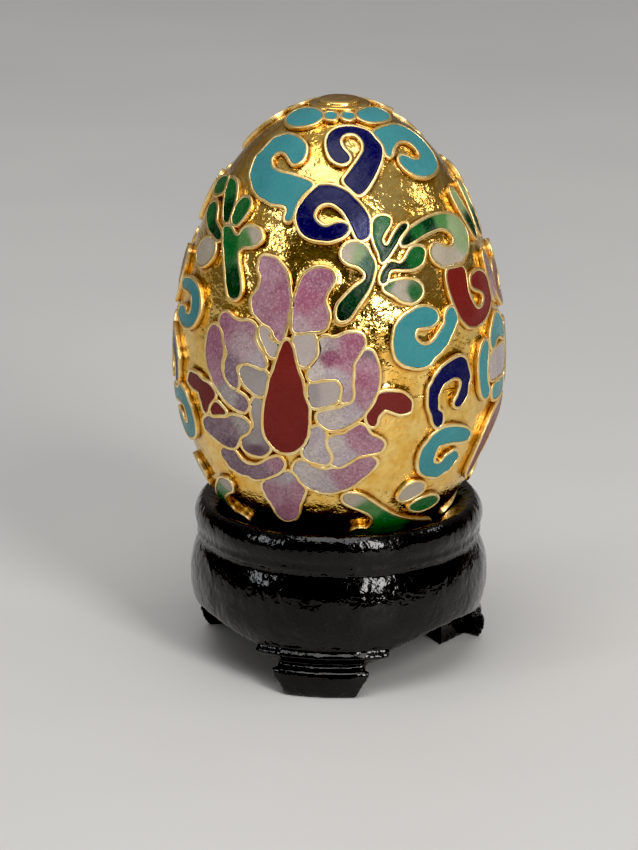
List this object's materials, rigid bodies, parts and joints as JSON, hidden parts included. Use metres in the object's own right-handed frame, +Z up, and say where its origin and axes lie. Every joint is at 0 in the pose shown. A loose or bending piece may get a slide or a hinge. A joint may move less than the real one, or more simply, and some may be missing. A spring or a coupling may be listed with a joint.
{
  "type": "cloisonne enamel egg on stand",
  "caption": "Egg with raised wire-fenced enamel lotus, scroll and leaf pattern on a gilt ground, resting in a turned black-lacquered wooden cup stand with carved feet and arches",
  "frame": {"origin": "centre of the stand, on the plane its feet rest on", "axes": "+Z up along the egg's axis; -Y faces the viewer, about 18 degrees of azimuth to the right of one lotus; +X to the viewer's right"},
  "size_m": [0.036, 0.036, 0.0617],
  "materials": {
    "lacquered_wood": "glossy black lacquer with a slightly uneven brushed surface",
    "gilt_shell": "gilt copper, bright with fine pitting between the motifs",
    "gilt_wire": "polished gilt wire",
    "gilt_cap": "polished gilt",
    "enamel_turquoise": "glossy vitreous enamel, turquoise",
    "enamel_cobalt": "glossy vitreous enamel, cobalt blue",
    "enamel_red": "glossy vitreous enamel, brick red",
    "enamel_green": "glossy vitreous enamel, green shading to pale tips",
    "enamel_pink": "glossy vitreous enamel, mottled mauve pink and white",
    "enamel_white": "glossy vitreous enamel, greyish white"
  },
  "bodies": {
    "stand": {"stand": "lacquered_wood"},
    "egg": {"shell_upper": "gilt_shell", "shell_lower": "gilt_shell", "top_cap": "gilt_cap", "bottom_cap": "gilt_cap", "lotus_wires": "gilt_wire", "lotus_heart_red": "enamel_red", "lotus_petals_upper_pink": "enamel_pink", "lotus_petals_left_pink": "enamel_pink", "lotus_petals_right_pink": "enamel_pink", "lotus_petals_lower_pink": "enamel_pink", "lotus_cells_white": "enamel_white", "red_leaf_wires": "gilt_wire", "red_leaf_enamel": "enamel_red", "crown_scroll_left_wires": "gilt_wire", "crown_scroll_left_turquoise": "enamel_turquoise", "crown_scroll_right_wires": "gilt_wire", "crown_scroll_right_turquoise": "enamel_turquoise", "mid_scroll_right_wires": "gilt_wire", "mid_scroll_right_turquoise": "enamel_turquoise", "mid_scroll_left_wires": "gilt_wire", "mid_scroll_left_turquoise": "enamel_turquoise", "low_scroll_wires": "gilt_wire", "low_scroll_turquoise": "enamel_turquoise", "crown_hook_wires": "gilt_wire", "crown_hook_cobalt": "enamel_cobalt", "shoulder_scroll_wires": "gilt_wire", "shoulder_scroll_cobalt": "enamel_cobalt", "side_scroll_wires": "gilt_wire", "side_scroll_cobalt": "enamel_cobalt", "sprig_right_wires": "gilt_wire", "sprig_right_green": "enamel_green", "comma_wires": "gilt_wire", "comma_green": "enamel_green", "sprig_left_wires": "gilt_wire", "sprig_left_green": "enamel_green", "sprig_left_white": "enamel_white", "red_scroll_wires": "gilt_wire", "red_scroll_enamel": "enamel_red", "flower_wires": "gilt_wire", "flower_petals_turquoise": "enamel_turquoise", "flower_centre_white": "enamel_white", "flower_bud_pink": "enamel_pink", "low_sprig_wires": "gilt_wire", "low_sprig_green": "enamel_green", "low_sprig_white": "enamel_white", "top_rosette_wires": "gilt_wire", "top_rosette_turquoise": "enamel_turquoise", "foot_rosette_wires": "gilt_wire", "foot_rosette_turquoise": "enamel_turquoise"}
  },
  "joints": [
    {"name": "egg_lift", "type": "slide", "parent": "stand", "child": "egg", "axis": [0, 0, 1], "range_m": [0, 0.025]}
  ]
}
